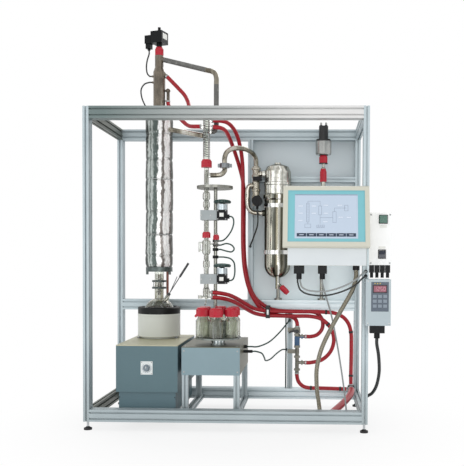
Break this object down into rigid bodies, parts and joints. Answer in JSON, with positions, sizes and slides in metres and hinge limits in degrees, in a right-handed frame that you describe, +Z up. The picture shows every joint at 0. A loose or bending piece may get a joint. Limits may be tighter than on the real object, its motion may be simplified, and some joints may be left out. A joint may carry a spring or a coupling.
{
  "type": "micro-distillation analyzer",
  "caption": "Floor-standing distillation rig in an aluminium profile frame: lifting heating mantle, flask, wrapped column, glass product line, receiver carousel, cold trap and operator console.",
  "frame": {"origin": "on the floor, under the middle of the whole object's box", "axes": "+X to the operator's right when facing the console, +Y from the front of the frame to its rear wall, +Z up"},
  "size_m": [1.515, 0.825, 2.124],
  "materials": {
    "profile": "natural anodised extrusion",
    "foot": "black moulded",
    "panel": "pale grey-blue sheet",
    "plinth": "slate blue powder coat",
    "housing": "grey-green powder coat",
    "steel": "ground stainless",
    "mantle": "spun sheet",
    "liner": "woven glass fibre",
    "collar": "black",
    "dial": "plain plate",
    "grey_plastic": "moulded",
    "glass": "clear borosilicate",
    "foil": "crumpled silver foil over wool",
    "red_cap": "crimson, ribbed",
    "tube": "bent tube",
    "clamp": "cast, bead blasted",
    "coil": "black moulded",
    "block": "milled, grey",
    "wheel": "dark green",
    "table": "grey powder coat",
    "motor": "turned",
    "carousel": "turned",
    "trap": "polished stainless",
    "sensor": "grey body, black head",
    "console": "cream",
    "screen": "teal front",
    "white_box": "white",
    "button": "green lens",
    "rocker": "dark blue-black",
    "controller": "light grey",
    "plug": "black",
    "water": "nickel plated",
    "lever": "black",
    "hose": "red",
    "cable": "grey"
  },
  "bodies": {
    "frame": {"front_left_post": "profile", "front_right_post": "profile", "rear_left_post": "profile", "rear_right_post": "profile", "front_top_beam": "profile", "front_bottom_beam": "profile", "rear_top_beam": "profile", "rear_middle_rails": "profile", "rear_bottom_beam": "profile", "top_side_beams": "profile", "bottom_depth_rails": "profile", "rear_uprights": "profile", "levelling_feet": "foot", "rear_panels": "panel", "lift_plinth": "plinth", "distillation_flask": "glass", "flask_probes": "coil", "column_jacket": "foil", "column_tube": "glass", "column_packing": "glass", "column_head": "glass", "red_screw_caps": "red_cap", "vapour_line": "tube", "product_condenser": "glass", "product_line": "glass", "vacuum_line": "tube", "pipe_clamps": "clamp", "stand_rods": "steel", "valve_blocks": "block", "solenoid_coils": "coil", "receiver_table": "table", "table_legs": "profile", "carousel_motor": "motor", "cold_trap": "trap", "sensor_vessel": "sensor", "console_housing": "console", "console_screen": "screen", "power_box": "white_box", "heater_controller": "controller", "cable_plugs": "plug", "water_manifold": "water", "red_hoses": "hose", "cables": "cable"},
    "lift": {"lift_housing": "housing", "lift_guide_rods": "steel", "mantle_shell": "mantle", "mantle_liner": "liner", "mantle_collar": "collar", "heat_dial_plate": "dial"},
    "heat_knob": {"heat_knob": "grey_plastic"},
    "carousel": {"carousel_plate": "carousel", "receiver_bottles": "glass", "receiver_caps": "red_cap"},
    "upper_wheel": {"upper_valve_wheel": "wheel"},
    "lower_wheel": {"lower_valve_wheel": "wheel"},
    "plunger": {"reflux_plunger": "steel"},
    "drain_knob": {"trap_drain_knob": "red_cap"},
    "button": {"start_button": "button"},
    "rocker": {"main_switch": "rocker"},
    "lever": {"water_lever": "lever"}
  },
  "joints": [
    {"name": "mantle_lift", "type": "slide", "parent": "frame", "child": "lift", "axis": [0, 0, 1], "range_m": [-0.06, 0]},
    {"name": "heat_knob_turn", "type": "hinge", "parent": "lift", "child": "heat_knob", "pos_m": [-0.4575, -0.1975, 0.3005], "axis": [0, 1, 0], "range_deg": [0, 270]},
    {"name": "carousel_turn", "type": "hinge", "parent": "frame", "child": "carousel", "pos_m": [-0.1115, -0.0775, 0.44], "axis": [0, 0, 1], "continuous": true},
    {"name": "upper_valve_turn", "type": "hinge", "parent": "frame", "child": "upper_wheel", "pos_m": [-0.1045, 0.0225, 1.141], "axis": [0, 0, 1], "range_deg": [0, 270]},
    {"name": "lower_valve_turn", "type": "hinge", "parent": "frame", "child": "lower_wheel", "pos_m": [-0.1045, 0.0225, 0.803], "axis": [0, 0, 1], "range_deg": [0, 270]},
    {"name": "reflux_plunger_lift", "type": "slide", "parent": "frame", "child": "plunger", "axis": [0, 0, 1], "range_m": [0, 0.008]},
    {"name": "trap_drain_turn", "type": "hinge", "parent": "frame", "child": "drain_knob", "pos_m": [0.1995, 0.2425, 0.7], "axis": [0.7071, 0, -0.7071], "range_deg": [0, 270]},
    {"name": "start_button_press", "type": "slide", "parent": "frame", "child": "button", "axis": [0, 1, 0], "range_m": [0, 0.004], "stiffness_N_per_m": 500, "springref_m": -0.002},
    {"name": "main_switch_rock", "type": "hinge", "parent": "frame", "child": "rocker", "pos_m": [0.7105, -0.2835, 0.878], "axis": [1, 0, 0], "range_deg": [-18, 0]},
    {"name": "water_lever_turn", "type": "hinge", "parent": "frame", "child": "lever", "pos_m": [0.2905, 0.2875, 0.444], "axis": [0, 1, 0], "range_deg": [0, 90]}
  ]
}
